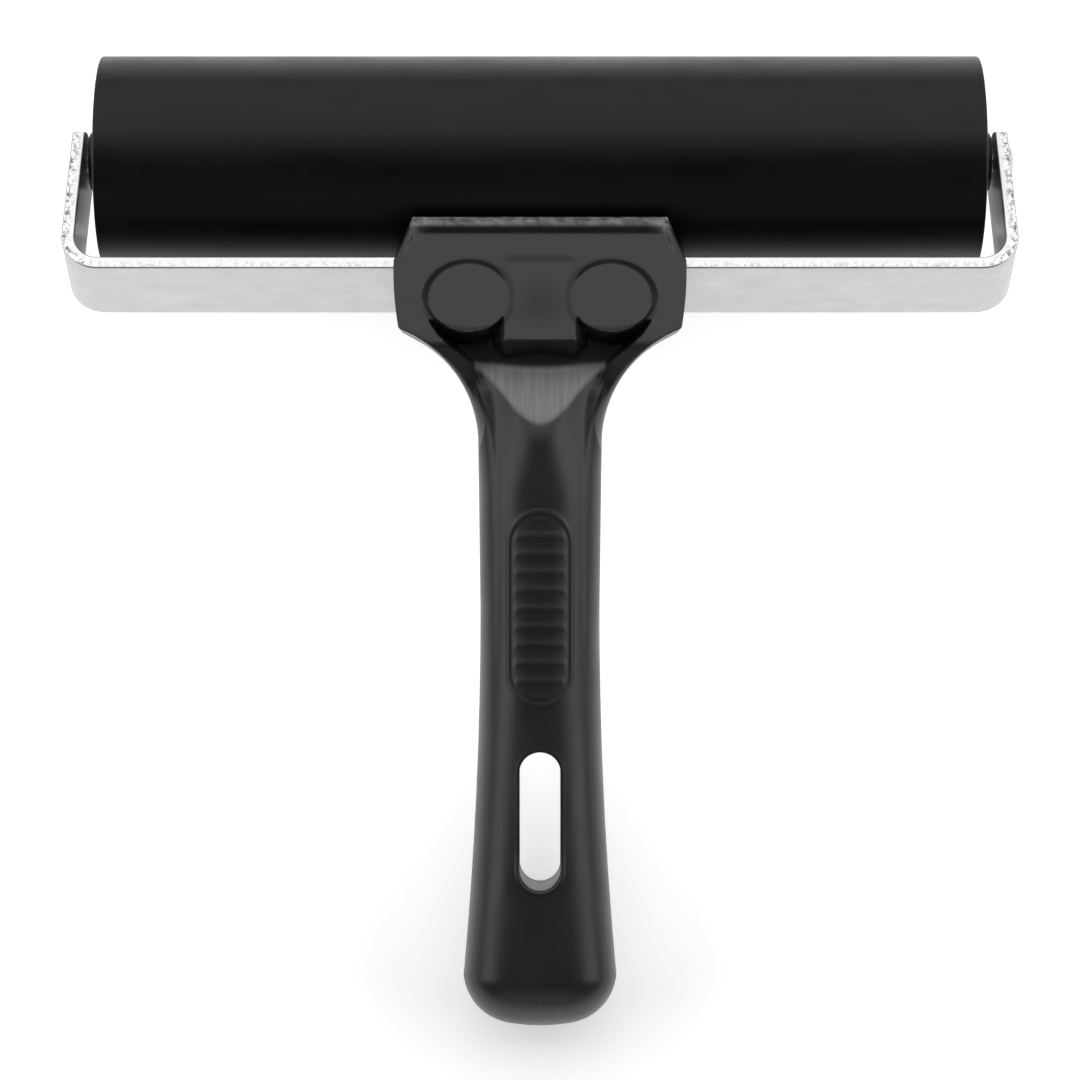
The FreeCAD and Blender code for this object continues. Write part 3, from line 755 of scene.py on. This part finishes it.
def side_walls(points, faces, sheet, x, s, top, bottom):
    """Add the walls from the upper sheet's borders down to the lower sheet."""
    borders = border_edges(sheet)
    used = sorted({v for pair in borders for v in pair})
    order = {v: n for n, v in enumerate(used)}
    levels = 9
    flat_x, flat_s = x.ravel()[used], s.ravel()[used]
    high, low = top.ravel()[used], bottom.ravel()[used]
    start = 2 * x.size
    for level in range(1, levels):
        share = level / levels
        points.append(to_row(flat_x, flat_s, high + (low - high) * share, GRIP_TILT))
    for a, b in borders:
        chain = []
        for v in (a, b):
            middle = [start + n * len(used) + order[v] for n in range(levels - 1)]
            chain.append([v] + middle + [v + x.size])
        for n in range(levels):
            faces.append((chain[0][n], chain[1][n], chain[1][n + 1], chain[0][n + 1]))


def handle(material):
    """The handle as one skin: an upper and a lower sheet over the same plan, and walls."""
    rows = stations()
    t = np.linspace(-1, 1, 201)
    share = t * (1.25 - 0.25 * t * t)
    s = np.repeat(rows[:, None], len(t), axis=1)
    x = half_width(s) * share[None, :]
    keep = slot_distance((x[:-1, :-1] + x[1:, 1:]) / 2, (s[:-1, :-1] + s[1:, 1:]) / 2) > 0
    x, s = snap_to_slot(x, s, keep)
    edge = line_distance(PLAN, np.abs(x), s)
    top = top_height(x, s, edge) + thumb_ribs(x, s)
    bottom = np.minimum(bottom_height(x, s, edge), top)
    upper = np.arange(x.size).reshape(x.shape)
    i, k = np.nonzero(keep)
    sheet = np.stack([upper[i, k], upper[i, k + 1], upper[i + 1, k + 1], upper[i + 1, k]], 1)
    faces = [tuple(f) for f in np.concatenate([sheet[:, ::-1], sheet + x.size]).tolist()]
    points = [to_row(x, s, up, GRIP_TILT).reshape(-1, 3) for up in (top, bottom)]
    side_walls(points, faces, sheet, x, s, top, bottom)
    points = np.concatenate(points)
    piece = make_piece("handle_moulding", points, faces, "frame", ["handle_body"],
                       material, HANDLE_SHARP)
    merge_close(piece)
    surface_marks(piece)
    return piece


def border_edges(sheet):
    """The directed edges that only one face of a sheet uses."""
    pairs = np.concatenate([sheet[:, [0, 1]], sheet[:, [1, 2]], sheet[:, [2, 3]], sheet[:, [3, 0]]])
    size = int(sheet.max()) + 1
    forward = pairs[:, 0] * size + pairs[:, 1]
    backward = pairs[:, 1] * size + pairs[:, 0]
    alone = ~np.isin(forward, backward)
    return [tuple(p) for p in pairs[alone].tolist()]


def merge_close(piece):
    """Join vertices that lie on each other and drop what has no area."""
    shape = bmesh.new()
    shape.from_mesh(piece.data)
    bmesh.ops.remove_doubles(shape, verts=shape.verts, dist=0.004 * MM)
    bmesh.ops.dissolve_degenerate(shape, edges=shape.edges, dist=0.001 * MM)
    loose = [v for v in shape.verts if not v.link_faces]
    bmesh.ops.delete(shape, geom=loose, context="VERTS")
    bmesh.ops.recalc_face_normals(shape, faces=shape.faces)
    shape.to_mesh(piece.data)
    shape.free()
    piece.data.set_sharp_from_angle(angle=math.radians(HANDLE_SHARP))


def rubbed_places(x, s):
    """Where the moulding is scuffed grey: the bead on the head's back edge, and its corners."""
    bead = step(s, 12.6, 11.4)
    corner = np.exp(-((np.hypot(x - 21.0, s - 11.5) / 1.6) ** 2))
    return np.clip(0.8 * bead + 0.8 * corner, 0, 1)


def painted_highlight_places(x, s, p):
    """Where painted highlight lightens the moulding: the facet, and a little at the end of the grip.
    """
    ramp = ramp_height(s)
    facet = step(np.abs(p - ramp), 0.7, 0.25) * step(crown(x, s) - ramp, -0.9, 0.3)
    facet = facet * (x < 11.2) * step(s, VALLEY_STATION - 2.0, VALLEY_STATION - 1.4)
    return facet + 0.2 * step(s, 138.0, 142.0)


def painted_shade_places(x, s):
    """Where painted shade darkens the moulding and dulls its shine: the hollow, the grooves round the
    pads and beside the facet.
    """
    v = in_plate(s)
    r = np.hypot(x - PAD_OFFSET, v - PAD_REACH)
    skirt = step(r, PAD_TOP_RADIUS, PAD_TOP_RADIUS + 0.3) * step(r, 8.1, 7.6) * (s < 32.0) * (x > 4.4)
    middle = np.exp(-((x / 3.4) ** 2 + ((v - 34.5) / 3.5) ** 2))
    groove = np.exp(-(((s - 13.1) / 0.7) ** 2)) * step(x, 20.5, 19.0)
    hollow = step(hollow_wall(x, s), 0.2, 1.0) * step(s, 36.5, 34.5)
    band = np.exp(-(((x - np.interp(s, [35.0, 49.0], [11.4, 8.3])) / 1.3) ** 2))
    band = 0.65 * band * step(s, 34.0, 37.5) * step(s, 54.0, 46.0)
    # The deep mark is painted shade, strongest in the hollow.
    deep = np.maximum.reduce([hollow, 0.8 * skirt, 0.75 * middle, 0.9 * groove, band])
    return np.clip(deep, 0, 1)


def surface_marks(piece):
    """Write the vertex attributes that the handle's material reads."""
    mesh = piece.data
    co = np.zeros(len(mesh.vertices) * 3)
    mesh.vertices.foreach_get("co", co)
    co = co.reshape(-1, 3) / MM
    away, up = AXLE_Y / MM - co[:, 1], co[:, 2] - AXLE_Z / MM
    s = away * math.cos(GRIP_TILT) + up * math.sin(GRIP_TILT)
    p = up * math.cos(GRIP_TILT) - away * math.sin(GRIP_TILT)
    x = np.abs(co[:, 0])
    # Besides the wear, two marks are painted light: painted highlight on the facet and the grip's
    # end, and painted shade in the hollows.
    marks = {"wear": rubbed_places(x, s), "painted_highlight": painted_highlight_places(x, s, p), "deep": painted_shade_places(x, s)}
    for name, values in marks.items():
        mesh.attributes.new(name, "FLOAT", "POINT").data.foreach_set("value", values)


# ---------------------------------------------------------------- clamp


def clamp(material, screw):
    """The plate under the head, following its outline, and its two countersunk screws."""
    rows = np.linspace(CLAMP_BACK, CLAMP_FRONT, 30)
    section = [(-1, CLAMP_LOW), (1, CLAMP_LOW), (1, CLAMP_HIGH), (-1, CLAMP_HIGH)]
    points, faces = [], []
    for v in rows:
        for side, n in section:
            s = v * math.cos(BEND) - n * math.sin(BEND)
            points.append(to_row(side * (float(half_width(s)) - 0.02), v, n, FRAME_TILT))
    for i in range(len(rows) - 1):
        for k in range(4):
            m = (k + 1) % 4
            faces.append((i * 4 + k, i * 4 + m, i * 4 + 4 + m, i * 4 + 4 + k))
    faces += [(3, 2, 1, 0), tuple(len(rows) * 4 - 4 + k for k in range(4))]
    plate = make_piece("underside_plate", np.array(points), faces, "frame", ["clamp_plate"],
                       material)
    bevel = plate.modifiers.new("edge", "BEVEL")
    bevel.width, bevel.segments = 0.3 * MM, 3
    bevel.limit_method = "ANGLE"
    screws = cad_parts["clamp_screws"]
    for place in screws.material_slots:
        place.material = screw
    return plate


# ---------------------------------------------------------------- studio


def area_light(name, place, aim, size, power):
    lamp = bpy.data.lights.new(name, "AREA")
    lamp.shape = "RECTANGLE"
    lamp.size, lamp.size_y = size
    lamp.energy = power
    thing = bpy.data.objects.new(name, lamp)
    thing.location = place
    thing.rotation_mode = "QUATERNION"
    thing.rotation_quaternion = (Vector(aim) - Vector(place)).to_track_quat("-Z", "Y")
    bpy.context.scene.collection.objects.link(thing)
    return thing


def studio():
    """A pale floor with a painted pool of light round the roller, soft light round the back and
    sides, and the camera.
    """
    half = 3.0
    mesh = bpy.data.meshes.new("floor")
    corners = [(-half, -half, 0), (half, -half, 0), (half, half, 0), (-half, half, 0)]
    mesh.from_pydata(corners, [], [(0, 1, 2, 3)])
    floor = bpy.data.objects.new("floor", mesh)
    bpy.context.scene.collection.objects.link(floor)
    paper = Shader("floor_paper", (0.93, 0.93, 0.93), 0.9)
    paper.bsdf.inputs["Specular IOR Level"].default_value = 0.1
    paper.bsdf.inputs["Emission Color"].default_value = (1, 1, 1, 1)
    away = paper.node("ShaderNodeVectorMath", Vector=paper.coords)
    away.operation = "DISTANCE"
    away.inputs[1].default_value = (0, AXLE_Y, 0)
    # Painted pool of light: the floor glows at 0.8 near the roller, which washes out the shadows
    # there, falling to 0.42 towards the end of the grip.
    painted_light_pool = paper.span(away.outputs["Value"], 0.8, 0.42, 0.06, 0.14)
    paper.connect("Emission Strength", painted_light_pool)
    paper.relief(paper.noise((300, 300, 300)), 0.00002)
    floor.data.materials.append(paper.material)

    area_light("back_light", (0, 1.05, 1.21), (0, 0, 0.02), (3.2, 2.24), 27.5)
    area_light("front_light", (0, -1.2, 0.8), (0, 0, 0.02), (1.4, 0.9), 1.2)
    area_light("left_light", (-1.2, 0.15, 0.75), (0, 0, 0.02), (1.2, 0.8), 6.2)
    area_light("right_light", (1.2, 0.15, 0.75), (0, 0, 0.02), (1.2, 0.8), 6.2)

    world = bpy.data.worlds.new("studio")
    world.use_nodes = True
    world.node_tree.nodes["Background"].inputs["Color"].default_value = (1, 1, 1, 1)
    world.node_tree.nodes["Background"].inputs["Strength"].default_value = 0.03
    bpy.context.scene.world = world
    bpy.context.scene.view_settings.view_transform = "Standard"

    camera_data = bpy.data.cameras.new("camera")
    camera_data.sensor_width = 36.0
    camera_data.lens = 132.33
    camera_data.clip_start, camera_data.clip_end = 0.05, 20.0
    camera = bpy.data.objects.new("camera", camera_data)
    tilt = math.radians(11.0)
    ahead = Vector((0, math.sin(tilt), -math.cos(tilt)))
    up = Vector((0, math.cos(tilt), math.sin(tilt)))
    distance, rise = 0.682, 0.065
    camera.location = Vector((0, AXLE_Y, AXLE_Z)) - ahead * distance - up * rise
    camera.rotation_euler = (tilt, 0, 0)
    bpy.context.scene.collection.objects.link(camera)
    bpy.context.scene.camera = camera


def main():
    plastic = handle_plastic()
    tube = turned_steel("tube_aluminium", 0.8, 0.35)
    screw = turned_steel("screw_steel", 0.65, 0.35)
    roller(black_rubber(), tube)
    roller_ends(bush_plastic())
    axle(turned_steel("axle_steel", 0.72, 0.3))
    bent_strip(strip_aluminium())
    handle(plastic)
    clamp(plastic, screw)
    studio()


main()
